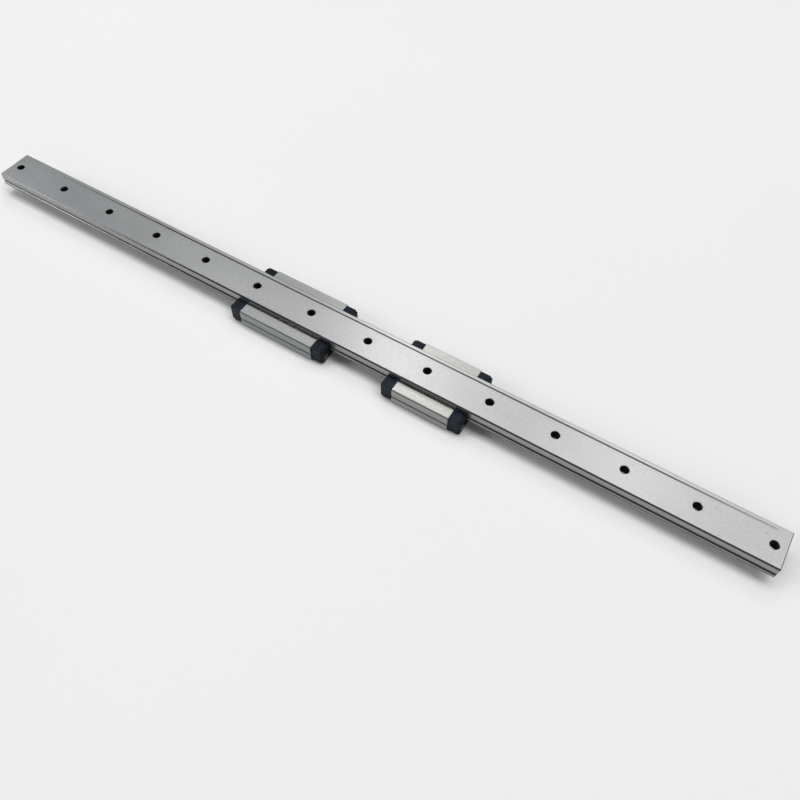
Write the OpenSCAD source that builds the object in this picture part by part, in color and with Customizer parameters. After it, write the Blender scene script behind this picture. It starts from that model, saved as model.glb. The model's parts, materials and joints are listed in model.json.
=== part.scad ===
// Wide miniature linear guide: one rail that carries a long and a short carriage.
// The guide lies on the carriages' mounting faces, so the rail's mounting face looks up.
// +X runs along the rail, +Y across it, +Z up. The origin is under the middle of the rail,
// on the plane of the carriages' mounting faces. All sizes are in millimetres.

/* [Rail] */
// Length of the rail
rail_length = 400; // [220:10:600]
// Width of the rail
rail_width = 18; // [18:0.5:19]
// Height of the rail, from its mounting face to its head face
rail_height = 7; // [7:0.1:8]
// Distance from one mounting hole to the next
hole_pitch = 30; // [20:5:40]
// Least distance from a rail end to its first hole
end_distance = 5; // [4:0.5:15]
// Diameter of the through holes
hole_d = 3.5; // [2.5:0.1:4.5]
// Diameter of the counterbores on the head side
counterbore_d = 6; // [5:0.1:7.5]
// Depth of the counterbores
counterbore_depth = 4.5; // [3:0.1:5]
// Chamfer along the edges of the mounting face
rail_chamfer = 0.6; // [0.2:0.05:0.8]

/* [Assembly] */
// Height from the carriages' mounting faces to the rail's mounting face
assembly_height = 12; // [12:0.1:13]
// Height from the carriages' legs to the rail's mounting face
leg_clearance = 2.9; // [2.6:0.1:3.0]
// Place of the long carriage's middle along the rail
long_place = -24.8; // [-60:0.1:-20]
// Place of the short carriage's middle along the rail
short_place = 50; // [40:0.1:100]

/* [Carriages] */
// Width of both steel blocks
block_width = 30; // [30:0.5:32]
// Length of the long steel block
long_length = 38.4; // [36:0.1:44]
// Length of the short steel block
short_length = 27.2; // [26:0.1:32]
// Thickness of an end cap along the rail
cap_thickness = 4.9; // [4.6:0.1:6]
// Width of the end caps
cap_width = 28.8; // [28.4:0.1:29.6]
// Thickness of an end seal along the rail
seal_thickness = 0.9; // [0.8:0.1:1.2]
// Tapped holes of the long block: distance along the rail
long_hole_pitch = 24; // [20:1:25]
// Tapped holes of the long block: distance across the rail
long_hole_spread = 23; // [21:1:23]
// Tapped holes of the short block: distance along the rail
short_hole_pitch = 12; // [10:1:14]
// Tapped holes of the short block: distance across the rail
short_hole_spread = 21; // [21:1:23]
// Core diameter of the tapped holes
tapped_d = 2.5; // [2:0.1:3]
// Depth of the tapped holes
tapped_depth = 3; // [2:0.1:3.6]

/* [Balls] */
// Diameter of the balls
ball_d = 1.588; // [1.4:0.002:1.6]
// Radius of the turn that the balls make inside an end cap
turn_radius = 1.55; // [1.5:0.01:1.6]
// Diameter of the retaining wires
wire_d = 0.32; // [0.25:0.01:0.35]

/* [Hidden] */
$fn = 48;

// How far a cutting shape reaches past the face that it cuts
past = 1;

// Colours
rail_colour = "gainsboro";
block_colour = "silver";
cap_colour = [0.13, 0.16, 0.21];
seal_colour = [0.08, 0.09, 0.11];
guide_colour = [0.22, 0.24, 0.28];
ball_colour = "lightgray";
wire_colour = "darkgray";
screw_colour = "whitesmoke";

// Heights
head_z = assembly_height - rail_height;
leg_z = assembly_height - leg_clearance;
ball_z = head_z + 2.85;

// Rail
head_chamfer = 0.7;
end_chamfer = 0.4;
hole_chamfer = 0.3;
hole_count = 1 + floor((rail_length - 2 * end_distance) / hole_pitch);
first_hole_x = -hole_pitch * (hole_count - 1) / 2;

// Shallow groove in the mounting face that marks the rail's reference side
datum_side = 6.7;
datum_width = 0.8;
datum_depth = 0.12;
datum_ends = [28, 6];

// Ball tracks: two arcs, a little apart, make the pointed arch of a track
ball_side = rail_width / 2 + 0.35;
track_r = ball_d / 2 + 0.03;
track_shift = 0.04;
track_edge = 0.12;
return_side = ball_side + 2 * turn_radius;
return_r = ball_d / 2 + 0.12;
tube_r = ball_d / 2 + 0.05;

// Retaining wires lie in a slot at the bottom of the rail's tracks
wire_side = ball_side - ball_d / 2 - wire_d / 2 - 0.02;
wire_gap = 0.08;
wire_reach = 3.2;
wire_hook = 2;
wire_hole_r = wire_d / 2 + 0.04;

// Block
block_gap = 0.4;
leg_chamfer = 0.5;
inner_chamfer = 0.3;
foot_chamfer = 0.6;
mark_z = 4.6;
mark_width = 1.5;
mark_depth = 0.35;
tapped_chamfer = 0.35;

// End cap
cap_gap = 0.3;
cap_foot = 0.45;
cap_drop = 0.2;
cap_foot_r = 0.5;
cap_top_r = 0.2;

// Guide in the end cap
guide_r = turn_radius - 0.02;
guide_half_height = ball_d / 2;
guide_gap = 0.02;

// End seal
seal_gap = 0.08;
seal_inset = 0.25;
seal_drop = 0.35;
seal_foot = cap_foot + seal_inset;
seal_r = 0.4;

// Cap screws
screw_side = 11.2;
screw_z = 2.9;
screw_r = 0.78;
screw_hole_r = 0.82;
screw_length = 3.6;
screw_head_r = 1.35;
screw_head_height = 0.55;
screw_seat_gap = 0.1;
recess_width = 0.32;
recess_length = 1.7;
recess_depth = 0.4;

// Ball loop
ball_gap = 0.01;
ball_step = 2 * turn_radius * asin((ball_d + ball_gap) / (2 * turn_radius)) * PI / 180;

function loop_length(length) = 2 * length + 2 * PI * turn_radius;
function ball_count(length) = floor(loop_length(length) / ball_step);

// A point of the loop at the distance s from its start, as [x, y]
function loop_point(s, length) =
    let (turn = PI * turn_radius)
    s < length ? [s - length / 2, ball_side] :
    s < length + turn ? turn_point(length / 2, 1, (s - length) / turn) :
    s < 2 * length + turn ? [length / 2 - (s - length - turn), return_side] :
    turn_point(-length / 2, -1, (s - 2 * length - turn) / turn);

// A point of the half turn round x, a share of the way from its start
function turn_point(x, way, share) =
    let (angle = 180 * share)
    [x + way * turn_radius * sin(angle), ball_side + turn_radius - way * turn_radius * cos(angle)];

// ---- Shared shapes ----

// Runs a profile drawn in Y and Z along the rail
module along_x(length) {
    rotate([90, 0, 90])
        linear_extrude(height = length, center = true)
            children();
}

// Repeats a profile drawn at +Y on the other side
module both_sides() {
    children();
    mirror([1, 0])
        children();
}

// Turns the right end or the back half of a carriage into the left or the front one
module at_end(right) {
    mirror([right ? 0 : 1, 0, 0])
        children();
}

module at_side(back) {
    mirror([0, back ? 0 : 1, 0])
        children();
}

// A rectangle about the origin with cut corners
module cut_rectangle(width, height, cut) {
    x = width / 2;
    y = height / 2;
    polygon([
        [-x + cut, -y], [x - cut, -y], [x, -y + cut], [x, y - cut],
        [x - cut, y], [-x + cut, y], [-x, y - cut], [-x, -y + cut],
    ]);
}

// A rounded corner to take away at [x, y], where the body lies towards dx and dy
module corner_cut(x, y, dx, dy, r) {
    translate([x, y])
        difference() {
            translate([min(dx * r, -dx * past), min(dy * r, -dy * past)])
                square(r + past);
            translate([dx * r, dy * r])
                circle(r);
        }
}

// The pointed arch of one ball track, about the middle of the balls
module track() {
    for (shift = [-track_shift, track_shift])
        translate([ball_side, ball_z + shift])
            circle(track_r);
}

// Outline of the rail, a gap larger than the steel all round
module rail_outline(gap) {
    w = rail_width / 2 + gap;
    low = head_z - gap;
    high = assembly_height + gap;
    polygon([
        [-w + head_chamfer, low], [w - head_chamfer, low], [w, low + head_chamfer], [w, high - rail_chamfer],
        [w - rail_chamfer, high], [-w + rail_chamfer, high], [-w, high - rail_chamfer], [-w, low + head_chamfer],
    ]);
}

// ---- Rail ----

module rail_profile() {
    difference() {
        rail_outline(0);
        both_sides() {
            track();
            track_edges();
            wire_slot();
        }
    }
}

// Breaks the two sharp edges between a track and the side of the rail
module track_edges() {
    lift = track_shift + sqrt(pow(track_r, 2) - pow(ball_side - rail_width / 2, 2));
    for (way = [-1, 1])
        translate([rail_width / 2, ball_z + way * lift])
            rotate(45)
                square(track_edge, center = true);
}

module wire_slot() {
    half = wire_d / 2 + wire_gap;
    bottom = wire_side - half;
    translate([bottom, ball_z - half])
        square([ball_side - bottom, 2 * half]);
}

module rail_hole() {
    translate([0, 0, head_z - past])
        cylinder(h = rail_height + 2 * past, d = hole_d);
    translate([0, 0, head_z - past])
        cylinder(h = counterbore_depth + past, d = counterbore_d);
    translate([0, 0, head_z - hole_chamfer])
        cylinder(h = 2 * hole_chamfer, d1 = counterbore_d + 4 * hole_chamfer, d2 = counterbore_d);
    translate([0, 0, assembly_height - hole_chamfer])
        cylinder(h = 2 * hole_chamfer, d1 = hole_d, d2 = hole_d + 4 * hole_chamfer);
}

module datum_groove() {
    start = -rail_length / 2 + datum_ends[0];
    translate([start, datum_side - datum_width / 2, assembly_height - datum_depth])
        cube([rail_length - datum_ends[0] - datum_ends[1], datum_width, past]);
}

module rail() {
    color(rail_colour)
        difference() {
            intersection() {
                along_x(rail_length)
                    rail_profile();
                translate([0, 0, head_z + rail_height / 2])
                    rotate([90, 0, 0])
                        linear_extrude(height = rail_width + 2 * past, center = true)
                            cut_rectangle(rail_length, rail_height, end_chamfer);
                linear_extrude(height = assembly_height + past)
                    cut_rectangle(rail_length, rail_width, end_chamfer);
            }
            for (i = [0 : hole_count - 1])
                translate([first_hole_x + i * hole_pitch, 0, 0])
                    rail_hole();
            datum_groove();
        }
}

// ---- Steel block ----

module block_outline() {
    w = block_width / 2;
    polygon([
        [-w + foot_chamfer, 0], [w - foot_chamfer, 0], [w, foot_chamfer], [w, leg_z - leg_chamfer],
        [w - leg_chamfer, leg_z], [-w + leg_chamfer, leg_z], [-w, leg_z - leg_chamfer], [-w, foot_chamfer],
    ]);
}

module block_profile() {
    inner = rail_width / 2 + block_gap;
    difference() {
        block_outline();
        translate([-inner, head_z - block_gap])
            square([2 * inner, leg_z]);
        both_sides() {
            track();
            translate([return_side, ball_z])
                circle(return_r);
            translate([block_width / 2 - mark_depth, mark_z - mark_width / 2])
                square([mark_depth + past, mark_width]);
            translate([inner, leg_z])
                rotate(45)
                    square(sqrt(2) * inner_chamfer, center = true);
        }
    }
}

module tapped_hole() {
    translate([0, 0, -past])
        cylinder(h = tapped_depth + past, d = tapped_d);
    translate([0, 0, tapped_depth])
        cylinder(h = tapped_d / 4, d1 = tapped_d, d2 = 0);
    translate([0, 0, -tapped_chamfer])
        cylinder(h = 2 * tapped_chamfer, d1 = tapped_d + 4 * tapped_chamfer, d2 = tapped_d);
}

// Hole for a cap screw's shank, drilled into the end of a block that ends at x = 0
module screw_hole(depth) {
    translate([-depth, screw_side, screw_z])
        rotate([0, 90, 0])
            cylinder(h = depth + past, r = screw_hole_r);
}

module block(length, pitch, spread) {
    color(block_colour)
        difference() {
            along_x(length)
                block_profile();
            for (x = [-pitch / 2, pitch / 2], y = [-spread / 2, spread / 2])
                translate([x, y, 0])
                    tapped_hole();
            for (right = [false, true], back = [false, true])
                at_end(right)
                    at_side(back)
                        translate([length / 2, 0, 0])
                            screw_hole(screw_length + 0.4);
        }
}

// ---- End cap, drawn with its inner face at x = 0 ----

module cap_profile() {
    w = cap_width / 2;
    top = leg_z - cap_drop;
    inner = rail_width / 2 + cap_gap;
    difference() {
        translate([-w, cap_foot])
            square([2 * w, top - cap_foot]);
        translate([-inner, head_z - cap_gap])
            square([2 * inner, leg_z]);
        both_sides() {
            corner_cut(w, cap_foot, -1, 1, cap_foot_r);
            corner_cut(w, top, -1, -1, cap_top_r);
        }
    }
}

// Room for the turning balls and the guide inside the turn
module turn_pocket() {
    translate([0, ball_side + turn_radius, ball_z]) {
        ball_turn(tube_r);
        translate([0, 0, -guide_half_height - guide_gap])
            cylinder(h = 2 * (guide_half_height + guide_gap), r = turn_radius);
    }
}

// The ring that the balls sweep through in the turn
module ball_turn(r) {
    rotate_extrude()
        translate([turn_radius, 0])
            circle(r);
}

module cap(right) {
    color(cap_colour)
        at_end(right)
            difference() {
                translate([cap_thickness / 2, 0, 0])
                    along_x(cap_thickness)
                        cap_profile();
                for (back = [false, true])
                    at_side(back) {
                        turn_pocket();
                        translate([wire_reach, rail_width / 2, ball_z])
                            rotate([-90, 0, 0])
                                cylinder(h = wire_side + wire_hook + past / 2 - rail_width / 2, r = wire_hole_r);
                        translate([cap_thickness + past, 0, 0])
                            screw_hole(cap_thickness + 2 * past);
                    }
            }
}

// ---- Ball return guide, drawn at the right end and the back half ----

module guide() {
    translate([0, ball_side + turn_radius, ball_z])
        difference() {
            intersection() {
                translate([0, 0, -guide_half_height])
                    cylinder(h = 2 * guide_half_height, r = guide_r);
                translate([guide_gap, -guide_r - past, -guide_half_height - past])
                    cube([guide_r + past, 2 * (guide_r + past), 2 * (guide_half_height + past)]);
            }
            ball_turn(tube_r);
        }
}

// ---- End seal, drawn with its inner face at x = 0 ----

module seal_profile() {
    w = cap_width / 2 - seal_inset;
    top = leg_z - cap_drop - seal_drop;
    difference() {
        translate([-w, seal_foot])
            square([2 * w, top - seal_foot]);
        difference() {
            rail_outline(seal_gap);
            both_sides()
                track_lip();
        }
        both_sides() {
            corner_cut(w, seal_foot, -1, 1, seal_r);
            corner_cut(w, top, -1, -1, seal_r);
        }
    }
}

// The part of the seal that wipes the rail's track
module track_lip() {
    translate([ball_side, ball_z])
        circle(track_r - seal_gap);
}

module seal(right) {
    color(seal_colour)
        at_end(right)
            difference() {
                translate([seal_thickness / 2, 0, 0])
                    along_x(seal_thickness)
                        seal_profile();
                for (back = [false, true])
                    at_side(back)
                        translate([seal_thickness, 0, 0]) {
                            translate([past, 0, 0])
                                screw_hole(seal_thickness + 2 * past);
                            translate([-screw_head_height, screw_side, screw_z])
                                rotate([0, 90, 0])
                                    cylinder(h = screw_head_height + past, r = screw_head_r + screw_seat_gap);
                        }
            }
}

// ---- Cap screws, drawn with the outer face of their heads at x = 0 ----

module cap_screw() {
    shank = cap_thickness + seal_thickness - screw_head_height + screw_length;
    translate([0, screw_side, screw_z])
        rotate([0, -90, 0])
            difference() {
                union() {
                    cylinder(h = screw_head_height, r = screw_head_r);
                    cylinder(h = screw_head_height + shank, r = screw_r);
                }
                for (turn = [0, 90])
                    rotate(turn)
                        cube([recess_length, recess_width, 2 * recess_depth], center = true);
            }
}

module cap_screws(right) {
    color(screw_colour)
        at_end(right)
            for (back = [false, true])
                at_side(back)
                    cap_screw();
}

// ---- Ball loop and retaining wire, drawn on the back half ----

module balls(length) {
    count = ball_count(length);
    step = loop_length(length) / count;
    color(ball_colour)
        for (i = [0 : count - 1])
            let (p = loop_point((i + 0.5) * step, length))
                translate([p[0], p[1], ball_z])
                    sphere(d = ball_d);
}

module wire(length) {
    half = length / 2 + wire_reach;
    color(wire_colour)
        translate([0, wire_side, ball_z]) {
            translate([-half, 0, 0])
                rotate([0, 90, 0])
                    cylinder(h = 2 * half, d = wire_d);
            for (x = [-half, half])
                translate([x, 0, 0]) {
                    sphere(d = wire_d);
                    rotate([-90, 0, 0])
                        cylinder(h = wire_hook, d = wire_d);
                }
        }
}

// ---- Carriage pieces in place ----

module end_of(place, length, right, out = 0) {
    translate([place + (right ? 1 : -1) * (length / 2 + out), 0, 0])
        children();
}

module carriage_guide(place, length, right, back) {
    color(guide_colour)
        end_of(place, length, right)
            at_end(right)
                at_side(back)
                    guide();
}

module carriage_cap(place, length, right) {
    end_of(place, length, right)
        cap(right);
}

module carriage_seal(place, length, right) {
    end_of(place, length, right, cap_thickness)
        seal(right);
}

module carriage_screws(place, length, right) {
    end_of(place, length, right, cap_thickness + seal_thickness)
        cap_screws(right);
}

module carriage_balls(place, length, back) {
    translate([place, 0, 0])
        at_side(back)
            balls(length);
}

module carriage_wire(place, length, back) {
    translate([place, 0, 0])
        at_side(back)
            wire(length);
}

module long_block() {
    translate([long_place, 0, 0])
        block(long_length, long_hole_pitch, long_hole_spread);
}

module short_block() {
    translate([short_place, 0, 0])
        block(short_length, short_hole_pitch, short_hole_spread);
}

rail();

long_block();
carriage_cap(long_place, long_length, false);  // long_cap_left
carriage_cap(long_place, long_length, true);  // long_cap_right
carriage_seal(long_place, long_length, false);  // long_seal_left
carriage_seal(long_place, long_length, true);  // long_seal_right
carriage_guide(long_place, long_length, false, false);  // long_guide_left_front
carriage_guide(long_place, long_length, false, true);  // long_guide_left_back
carriage_guide(long_place, long_length, true, false);  // long_guide_right_front
carriage_guide(long_place, long_length, true, true);  // long_guide_right_back
carriage_balls(long_place, long_length, false);  // long_balls_front
carriage_balls(long_place, long_length, true);  // long_balls_back
carriage_wire(long_place, long_length, false);  // long_wire_front
carriage_wire(long_place, long_length, true);  // long_wire_back
carriage_screws(long_place, long_length, false);  // long_screws_left
carriage_screws(long_place, long_length, true);  // long_screws_right

short_block();
carriage_cap(short_place, short_length, false);  // short_cap_left
carriage_cap(short_place, short_length, true);  // short_cap_right
carriage_seal(short_place, short_length, false);  // short_seal_left
carriage_seal(short_place, short_length, true);  // short_seal_right
carriage_guide(short_place, short_length, false, false);  // short_guide_left_front
carriage_guide(short_place, short_length, false, true);  // short_guide_left_back
carriage_guide(short_place, short_length, true, false);  // short_guide_right_front
carriage_guide(short_place, short_length, true, true);  // short_guide_right_back
carriage_balls(short_place, short_length, false);  // short_balls_front
carriage_balls(short_place, short_length, true);  // short_balls_back
carriage_wire(short_place, short_length, false);  // short_wire_front
carriage_wire(short_place, short_length, true);  // short_wire_back
carriage_screws(short_place, short_length, false);  // short_screws_left
carriage_screws(short_place, short_length, true);  // short_screws_right
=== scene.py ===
"""A wide miniature linear guide on a pale studio table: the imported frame, with real surfaces."""
import json
import math

import bpy
from mathutils import Matrix, Vector


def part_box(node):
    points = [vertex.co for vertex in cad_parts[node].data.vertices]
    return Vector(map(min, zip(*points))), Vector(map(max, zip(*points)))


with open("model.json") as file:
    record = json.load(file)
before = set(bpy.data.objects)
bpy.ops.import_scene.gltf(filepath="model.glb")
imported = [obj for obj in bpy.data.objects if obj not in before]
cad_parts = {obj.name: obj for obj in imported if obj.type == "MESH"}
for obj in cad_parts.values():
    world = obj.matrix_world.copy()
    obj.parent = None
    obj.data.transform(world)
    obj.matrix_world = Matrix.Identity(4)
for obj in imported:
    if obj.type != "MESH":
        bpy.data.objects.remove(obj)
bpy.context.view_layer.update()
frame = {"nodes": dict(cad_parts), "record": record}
nodes = frame["nodes"]

MM = 0.001

# The rail lies with its mounting face up. Its counterbored side faces down.
RAIL_LOW, RAIL_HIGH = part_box("rail")
RAIL_HALF_LENGTH = RAIL_HIGH.x
RAIL_HALF_WIDTH = RAIL_HIGH.y
HEAD_Z = RAIL_LOW.z
FACE_Z = RAIL_HIGH.z

# Both blocks have the same section: two legs that stand on the tapped base.
BLOCK_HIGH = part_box("long_block")[1]
BLOCK_HALF_WIDTH = BLOCK_HIGH.y
LEG_Z = BLOCK_HIGH.z

BALL_LOW, BALL_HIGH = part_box("long_balls_back")
BALL_Z = (BALL_LOW.z + BALL_HIGH.z) / 2

# The reference groove runs along one side of the rail's mounting face. It is faint at both ends.
DATUM_Y = 6.7 * MM
DATUM_DEPTH = 0.12 * MM
DATUM_START = RAIL_LOW.x + 28 * MM
DATUM_END = RAIL_HIGH.x - 6 * MM
FADE_IN = 70 * MM
FADE_OUT = 45 * MM
FAINT = 0.3

# The groove milled along each side of a block.
MILLED_Z = 4.6 * MM
MILLED_HALF_HEIGHT = 0.75 * MM
MILLED_DEPTH = 0.35 * MM

# How far the marks on the steel reach, most of them painted shade: in from a side, an end or a face, or
# out from the middle of what they cover. CRISP is the usual width of a mark's soft border.
CRISP = 0.05 * MM
EDGE_MARK = 0.57 * MM
END_MARK = 0.37 * MM
HOLE_MARK = 3.1 * MM
DATUM_MARK = 0.37 * MM
TRACK_MARK = 0.72 * MM
TRACK_DEPTH_MARK = 0.6 * MM
FOOT_MARK = 0.74 * MM
FOOT_HEIGHT_MARK = 1.05 * MM
LEG_EDGE_MARK = 0.48 * MM
LEG_GAP_MARK = 0.68 * MM


# ---- Node helpers ----

def new_material(name):
    """A node material: (material, node tree, shader)."""
    material = bpy.data.materials.new(name)
    material.use_nodes = True
    tree = material.node_tree
    return material, tree, tree.nodes["Principled BSDF"]


def add(tree, kind, **inputs):
    """Adds a node. Inputs are set by name, with _ for a space."""
    node = tree.nodes.new(kind)
    for name, value in inputs.items():
        node.inputs[name.replace("_", " ")].default_value = value
    return node


def feed(tree, socket, value):
    """Links a socket to another, or sets it to a plain value."""
    if isinstance(value, bpy.types.NodeSocket):
        tree.links.new(value, socket)
    elif value is not None:
        socket.default_value = value


def maths(tree, operation, a, b=None):
    """A maths node on sockets or numbers. Returns its output."""
    node = tree.nodes.new("ShaderNodeMath")
    node.operation = operation
    feed(tree, node.inputs[0], a)
    feed(tree, node.inputs[1], b)
    return node.outputs[0]


def times(tree, *values):
    """The product of sockets and numbers."""
    product = values[0]
    for value in values[1:]:
        product = maths(tree, "MULTIPLY", product, value)
    return product


def map_range(tree, value, start, end, low=0.0, high=1.0):
    """Maps start..end to low..high, clamped."""
    node = add(tree, "ShaderNodeMapRange", From_Min=start, From_Max=end, To_Min=low, To_Max=high)
    tree.links.new(value, node.inputs["Value"])
    return node.outputs["Result"]


def above(tree, value, limit, soft):
    """1 above the limit, falling to 0 over soft below it."""
    return map_range(tree, value, limit - soft, limit)


def below(tree, value, limit, soft):
    """1 below the limit, falling to 0 over soft above it."""
    return map_range(tree, value, limit, limit + soft, 1.0, 0.0)


def band(tree, value, middle, half, soft):
    """1 within half of middle, falling to 0 over soft."""
    away = maths(tree, "ABSOLUTE", maths(tree, "SUBTRACT", value, middle))
    return below(tree, away, half, soft)


def axes(tree):
    """The surface point's own X, Y and Z in metres."""
    coordinates = tree.nodes.new("ShaderNodeTexCoord")
    split = tree.nodes.new("ShaderNodeSeparateXYZ")
    tree.links.new(coordinates.outputs["Object"], split.inputs[0])
    return split.outputs


def noise(tree, cell, detail=2.0, roughness=0.5):
    """Noise from 0 to 1 with cells of the given size in millimetres: one size, or one for each axis."""
    sizes = (cell, cell, cell) if isinstance(cell, (int, float)) else cell
    coordinates = tree.nodes.new("ShaderNodeTexCoord")
    mapping = add(tree, "ShaderNodeMapping", Scale=tuple(1 / (size * MM) for size in sizes))
    tree.links.new(coordinates.outputs["Object"], mapping.inputs["Vector"])
    node = add(tree, "ShaderNodeTexNoise", Scale=1.0, Detail=detail, Roughness=roughness)
    tree.links.new(mapping.outputs["Vector"], node.inputs["Vector"])
    return node.outputs["Fac"]


def ramp(tree, value, *stops):
    """Maps a value to a colour between two (place, colour) stops."""
    node = tree.nodes.new("ShaderNodeValToRGB")
    for element, (place, colour) in zip(node.color_ramp.elements, stops):
        element.position = place
        element.color = (*colour, 1.0)
    tree.links.new(value, node.inputs["Fac"])
    return node.outputs["Color"]


def mix(tree, share, a, b):
    """Mixes colour a into colour b by share."""
    node = tree.nodes.new("ShaderNodeMix")
    node.data_type = "RGBA"
    for socket, value in zip((node.inputs[0], node.inputs[6], node.inputs[7]), (share, a, b)):
        feed(tree, socket, value)
    return node.outputs[2]


def blend(tree, share, a, b):
    """Mixes number a into number b by share."""
    node = tree.nodes.new("ShaderNodeMix")
    feed(tree, node.inputs[0], share)
    feed(tree, node.inputs[2], a)
    feed(tree, node.inputs[3], b)
    return node.outputs[0]


def weighted(tree, *pairs):
    """The sum of (value, weight) pairs."""
    total = 0.0
    for value, weight in pairs:
        total = maths(tree, "ADD", total, times(tree, value, weight))
    return total


def mark(tree, look, mask, tone, strength=1.0, rough=None):
    """Mixes a look, (colour, roughness), into a tone and a roughness where the mask is 1."""
    colour, roughness = look
    colour = mix(tree, times(tree, mask, strength), colour, (*tone, 1.0))
    if rough is not None:
        roughness = blend(tree, mask, roughness, rough)
    return colour, roughness


def bump(tree, shader, height, depth, strength=1.0):
    """Bumps the shader's surface by a height of 0 to 1, depth millimetres deep."""
    node = add(tree, "ShaderNodeBump", Strength=strength, Distance=depth * MM)
    tree.links.new(height, node.inputs["Height"])
    tree.links.new(node.outputs["Normal"], shader.inputs["Normal"])


# ---- Materials ----

def ground_steel(name, dark, light, rough, marks):
    """Ground steel: a fine mottle, faint scratches along X, smudges and a few dark specks.

    marks(tree, look) adds what differs from place to place on the piece, painted shade among it. It
    returns the look, (colour, roughness), and how much of the grain's relief is left, from 0 to 1.
    """
    material, tree, shader = new_material(name)
    mottle = noise(tree, (1.5, 0.8, 0.8), detail=3.0, roughness=0.6)
    grain = noise(tree, 0.28, detail=2.0, roughness=0.6)
    scratches = noise(tree, (16.0, 0.16, 0.16), detail=3.0, roughness=0.6)
    smudge = noise(tree, (34.0, 14.0, 14.0), detail=2.0, roughness=0.5)
    specks = map_range(tree, noise(tree, (1.4, 0.7, 0.7), detail=1.0, roughness=0.4), 0.69, 0.75)

    tone = weighted(tree, (mottle, 0.40), (grain, 0.20), (scratches, 0.20), (smudge, 0.20))
    colour = ramp(tree, tone, (0.36, dark), (0.64, light))
    roughness = map_range(tree, tone, 0.3, 0.7, rough - 0.04, rough + 0.04)
    look = mark(tree, (colour, roughness), specks, (0.12, 0.12, 0.12), strength=0.30)
    (colour, roughness), relief = marks(tree, look)
    tree.links.new(colour, shader.inputs["Base Color"])
    tree.links.new(roughness, shader.inputs["Roughness"])

    shader.inputs["Metallic"].default_value = 1.0
    shader.inputs["Anisotropic"].default_value = 0.85
    shader.inputs["Anisotropic Rotation"].default_value = 0.25
    along = add(tree, "ShaderNodeCombineXYZ", X=1.0)
    tree.links.new(along.outputs[0], shader.inputs["Tangent"])
    height = weighted(tree, (mottle, 0.5), (grain, 0.3), (scratches, 0.2))
    bump(tree, shader, times(tree, height, relief), depth=0.020)
    return material


def rail_marks_and_shade(tree, look):
    """Smoother flanks, polished ball tracks, dull hole walls and the reference groove, with painted
    shade on the flanks, edges, tracks, hole walls and lower sides.
    """
    x, y, z = axes(tree)
    along = maths(tree, "ABSOLUTE", x)
    across = maths(tree, "ABSOLUTE", y)

    # Painted shade: the ball tracks are darkened nearly to black. Their lower roughness is real polish.
    track = times(tree,
                  maths(tree, "GREATER_THAN", across, RAIL_HALF_WIDTH - TRACK_DEPTH_MARK),
                  band(tree, z, BALL_Z, TRACK_MARK, soft=0.1 * MM))
    look = mark(tree, look, track, (0.064, 0.068, 0.078), strength=0.98, rough=0.3)

    # Near the rail's middle line, the only steel between its faces is the walls of the holes. They get
    # painted shade, for the dark inside the holes.
    middle_z = (HEAD_Z + FACE_Z) / 2
    inside_z = FACE_Z - middle_z - 0.15 * MM
    hole = times(tree,
                 band(tree, y, 0.0, HOLE_MARK, soft=CRISP),
                 band(tree, z, middle_z, inside_z, soft=0.02 * MM),
                 band(tree, x, 0.0, RAIL_HALF_LENGTH - 1.5 * MM, soft=0.1 * MM))
    look = mark(tree, look, hole, (0.028, 0.030, 0.036), rough=0.5)

    fade_in = map_range(tree, x, DATUM_START, DATUM_START + FADE_IN, FAINT, 1.0)
    fade_out = map_range(tree, x, DATUM_END - FADE_OUT, DATUM_END, 1.0, FAINT)
    groove = times(tree,
                   band(tree, y, DATUM_Y, DATUM_MARK, soft=CRISP),
                   band(tree, z, FACE_Z - DATUM_DEPTH, 0.75 * DATUM_DEPTH, soft=0.01 * MM),
                   maths(tree, "MINIMUM", fade_in, fade_out))
    look = mark(tree, look, groove, (0.085, 0.085, 0.092))

    # Painted shade: the rail's sides are darkened. Their lower roughness is real.
    flank = above(tree, across, RAIL_HALF_WIDTH - EDGE_MARK, soft=CRISP)
    look = mark(tree, look, flank, (0.118, 0.124, 0.122), strength=0.44, rough=0.27)

    # Painted shade: the chamfers along the rail's top edges and ends are darkened.
    long_edge = times(tree, flank, above(tree, z, FACE_Z - EDGE_MARK, soft=CRISP))
    end_edge = times(tree,
                     above(tree, along, RAIL_HALF_LENGTH - END_MARK, soft=CRISP),
                     above(tree, z, FACE_Z - END_MARK, soft=CRISP))
    edge = maths(tree, "MAXIMUM", long_edge, end_edge)
    look = mark(tree, look, edge, (0.036, 0.040, 0.055), strength=0.68)

    # Painted shade: the lower part of each side, next to the underside, is darkened.
    foot = times(tree,
                 above(tree, across, RAIL_HALF_WIDTH - FOOT_MARK, soft=0.04 * MM),
                 below(tree, z, HEAD_Z + FOOT_HEIGHT_MARK, soft=0.2 * MM))
    look = mark(tree, look, foot, (0.034, 0.037, 0.045), strength=0.80)

    smooth = maths(tree, "MAXIMUM", track, times(tree, flank, 0.8))
    return look, maths(tree, "SUBTRACT", 1.0, smooth)


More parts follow.
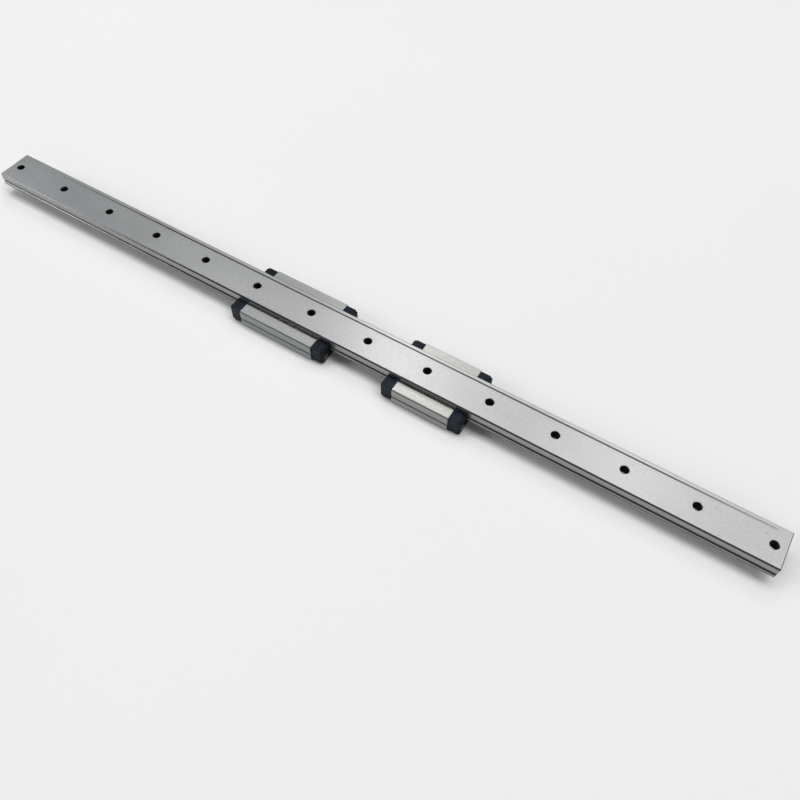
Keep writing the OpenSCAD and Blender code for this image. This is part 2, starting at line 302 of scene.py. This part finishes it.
def block_marks_and_shade(tree, look):
    """A duller milled groove, with painted shade on the outer walls, leg edges and inner sides."""
    _, y, z = axes(tree)
    across = maths(tree, "ABSOLUTE", y)

    milled = times(tree,
                   band(tree, z, MILLED_Z, MILLED_HALF_HEIGHT, soft=CRISP),
                   band(tree, across, BLOCK_HALF_WIDTH - MILLED_DEPTH, 0.0, soft=CRISP))
    look = mark(tree, look, milled, (0.15, 0.15, 0.145), strength=0.167)

    # Painted shade: the outer walls are darkened with a cool tint.
    wall = above(tree, across, BLOCK_HALF_WIDTH - 0.02 * MM, soft=0.02 * MM)
    look = mark(tree, look, wall, (0.17, 0.25, 0.265), strength=0.22)

    # Painted shade: the chamfered leg edges are darkened.
    edge = times(tree,
                 above(tree, z, LEG_Z - LEG_EDGE_MARK, soft=0.04 * MM),
                 above(tree, across, BLOCK_HALF_WIDTH - LEG_EDGE_MARK, soft=0.04 * MM))
    look = mark(tree, look, edge, (0.10, 0.105, 0.115), strength=0.5)

    # Painted shade: the inner sides facing the rail are darkened, for the shade in the gap between leg
    # and rail.
    inner = times(tree,
                  maths(tree, "LESS_THAN", across, RAIL_HALF_WIDTH + LEG_GAP_MARK),
                  maths(tree, "GREATER_THAN", z, HEAD_Z))
    look = mark(tree, look, inner, (0.05, 0.052, 0.060), strength=0.8)
    return look, 1.0


def moulded_plastic(name, dark, light, rough):
    """Moulded plastic with a fine grain and slightly uneven gloss."""
    material, tree, shader = new_material(name)
    grain = noise(tree, 0.2, detail=3.0, roughness=0.6)
    cloud = noise(tree, 5.0, detail=3.0, roughness=0.5)
    colour = ramp(tree, cloud, (0.35, dark), (0.65, light))
    gloss = map_range(tree, grain, 0.0, 1.0, rough - 0.08, rough + 0.08)
    tree.links.new(colour, shader.inputs["Base Color"])
    tree.links.new(gloss, shader.inputs["Roughness"])
    shader.inputs["Specular IOR Level"].default_value = 0.11
    bump(tree, shader, grain, depth=0.02, strength=0.35)
    return material


def polished_steel(name, dark, light, rough):
    """Bright steel with a faint unevenness of tone and gloss."""
    material, tree, shader = new_material(name)
    cloud = noise(tree, 1.1, detail=3.0, roughness=0.5)
    colour = ramp(tree, cloud, (0.3, dark), (0.7, light))
    gloss = map_range(tree, cloud, 0.0, 1.0, rough - 0.05, rough + 0.05)
    tree.links.new(colour, shader.inputs["Base Color"])
    tree.links.new(gloss, shader.inputs["Roughness"])
    shader.inputs["Metallic"].default_value = 1.0
    bump(tree, shader, cloud, depth=0.01, strength=0.3)
    return material


# Each material has its dark tone, its light tone and its mean roughness.
RAIL = ground_steel(
    "rail_ground_steel", (0.40, 0.405, 0.405), (0.53, 0.53, 0.525), 0.40, rail_marks_and_shade)
BLOCK = ground_steel(
    "block_ground_steel", (0.345, 0.35, 0.345), (0.455, 0.46, 0.45), 0.42, block_marks_and_shade)
# A lighter copy of the block steel: painted light on the short block.
SHORT_BLOCK_LIT = ground_steel(
    "short_block_lit_steel", (0.37, 0.37, 0.355), (0.49, 0.485, 0.46), 0.40, block_marks_and_shade)
CAP = moulded_plastic("cap_navy_plastic", (0.006, 0.009, 0.016), (0.011, 0.016, 0.027), 0.42)
SEAL = moulded_plastic("seal_black_rubber", (0.006, 0.007, 0.010), (0.013, 0.014, 0.019), 0.55)
GUIDE = moulded_plastic("guide_grey_plastic", (0.03, 0.035, 0.045), (0.05, 0.055, 0.07), 0.45)
BALL = polished_steel("ball_polished_steel", (0.55, 0.55, 0.56), (0.75, 0.75, 0.75), 0.12)
WIRE = polished_steel("wire_drawn_steel", (0.40, 0.40, 0.41), (0.58, 0.58, 0.58), 0.28)
SCREW = polished_steel("screw_turned_steel", (0.20, 0.20, 0.20), (0.32, 0.32, 0.31), 0.32)

BY_SLOT = {
    "rail_steel": RAIL, "block_steel": BLOCK, "cap_plastic": CAP, "seal_rubber": SEAL,
    "guide_plastic": GUIDE, "ball_steel": BALL, "wire_steel": WIRE, "screw_steel": SCREW,
}

for part in frame["record"]["subparts"]:
    for material_slot in nodes[part["node"]].material_slots:
        material_slot.material = BY_SLOT[part["material_slot"]]

# The short block's steel is a little warmer than the long one's, and lighter: painted light, for the
# stronger light on the short block.
nodes["short_block"].material_slots[0].material = SHORT_BLOCK_LIT


# ---- Studio ----

CENTRE = (0.0, 0.0, 0.0)
COOL = (0.90, 0.95, 1.0)
NEUTRAL = (1.0, 1.0, 1.0)
BACKDROP = (0.80, 0.80, 0.795, 1.0)
BLACK = (0.0, 0.0, 0.0, 1.0)
TABLE_HALF_WIDTH = 2.5
FADE_START = 0.55
FADE_END = 1.25


def make_floor():
    """A wide pale tabletop under the guide. Far from it, the table fades into the backdrop."""
    material, tree, shader = new_material("table_white")
    cloud = noise(tree, 330.0, detail=2.0, roughness=0.5)
    colour = ramp(tree, cloud, (0.3, (0.82, 0.82, 0.815)), (0.7, (0.838, 0.838, 0.833)))
    coordinates = tree.nodes.new("ShaderNodeTexCoord")
    distance = tree.nodes.new("ShaderNodeVectorMath")
    distance.operation = "LENGTH"
    tree.links.new(coordinates.outputs["Object"], distance.inputs[0])
    faded = map_range(tree, distance.outputs["Value"], FADE_START, FADE_END)
    tree.links.new(mix(tree, faded, colour, BLACK), shader.inputs["Base Color"])
    tree.links.new(mix(tree, faded, BLACK, BACKDROP), shader.inputs["Emission Color"])
    shader.inputs["Emission Strength"].default_value = 1.0
    shader.inputs["Roughness"].default_value = 0.75
    shader.inputs["Specular IOR Level"].default_value = 0.2
    mesh = bpy.data.meshes.new("table")
    half = TABLE_HALF_WIDTH
    corners = [(-half, -half, 0), (half, -half, 0), (half, half, 0), (-half, half, 0)]
    mesh.from_pydata(corners, [], [(0, 1, 2, 3)])
    floor = bpy.data.objects.new("table", mesh)
    floor.data.materials.append(material)
    bpy.context.scene.collection.objects.link(floor)


def make_light(name, place, target, size, power, colour=NEUTRAL):
    """A rectangular softbox of a size in metres and a power in watts, which faces its target."""
    light = bpy.data.lights.new(name, "AREA")
    light.shape = "RECTANGLE"
    light.size, light.size_y = size
    light.energy = power
    light.color = colour
    lamp = bpy.data.objects.new(name, light)
    lamp.location = place
    lamp.rotation_euler = (Vector(target) - Vector(place)).to_track_quat("-Z", "Y").to_euler()
    bpy.context.scene.collection.objects.link(lamp)


def make_world():
    """A pale backdrop that only the camera sees. All the light comes from the softboxes."""
    world = bpy.data.worlds.new("backdrop")
    world.use_nodes = True
    world.node_tree.nodes["Background"].inputs["Color"].default_value = BACKDROP
    world.cycles_visibility.diffuse = False
    world.cycles_visibility.glossy = False
    bpy.context.scene.world = world


def make_camera():
    """Stands in front of the rail's right half, looks down on it, and leans a little."""
    place = Vector((0.1368, -0.1838, 0.2848))
    target = Vector((0.0431, -0.0191, 0.0120))
    lean = math.radians(2.37)
    forward = (target - place).normalized()
    level = forward.cross(Vector((0, 0, 1))).normalized()
    up = level.cross(forward)
    right = level * math.cos(lean) + up * math.sin(lean)
    up = right.cross(forward)
    facing = Matrix((right, up, -forward)).transposed()
    data = bpy.data.cameras.new("camera")
    data.lens = 36.17
    data.sensor_width = 36.0
    data.clip_start = 0.01
    camera = bpy.data.objects.new("camera", data)
    camera.matrix_world = Matrix.Translation(place) @ facing.to_4x4()
    bpy.context.scene.collection.objects.link(camera)
    bpy.context.scene.camera = camera


bpy.context.scene.view_settings.view_transform = "Standard"
make_floor()
make_world()
make_light("overhead", (0.0, 0.45, 3.2), (0.0, 0.45, 0.0), (2.4, 0.9), 39.0)
make_light("overhead_left", (-1.5, 0.35, 2.8), CENTRE, (1.2, 0.8), 10.4)
make_light("overhead_right", (1.3, 0.35, 2.9), CENTRE, (1.2, 0.8), 11.6)
make_light("back", (0.05, 0.95, 1.40), (0.05, 0.0, 0.0), (1.25, 0.8), 2.45)
make_light("tube_left", (-0.50, 0.92, 1.36), (-0.50, 0.0, 0.0), (0.14, 0.6), 1.87)
make_light("tube_right", (0.13, 0.92, 1.36), (0.13, 0.0, 0.0), (0.14, 0.6), 0.88)
make_light("left_high", (-1.93, 0.00, 2.30), CENTRE, (1.4, 1.2), 6.0, COOL)
make_light("left_low", (-2.72, 0.00, 1.27), CENTRE, (1.4, 1.2), 8.5, COOL)
make_light("front_left_low", (-2.46, -1.15, 1.27), CENTRE, (1.4, 1.2), 9.0)
make_light("front_left", (-2.16, -1.35, 1.59), CENTRE, (0.9, 0.9), 15.5)
make_light("front", (0.0, -1.45, 0.90), CENTRE, (1.6, 0.7), 1.9)
make_light("front_right", (1.30, -1.30, 0.65), CENTRE, (1.0, 0.7), 1.9)
make_light("right_high", (1.93, 0.00, 2.30), CENTRE, (1.4, 1.2), 15.5)
make_camera()
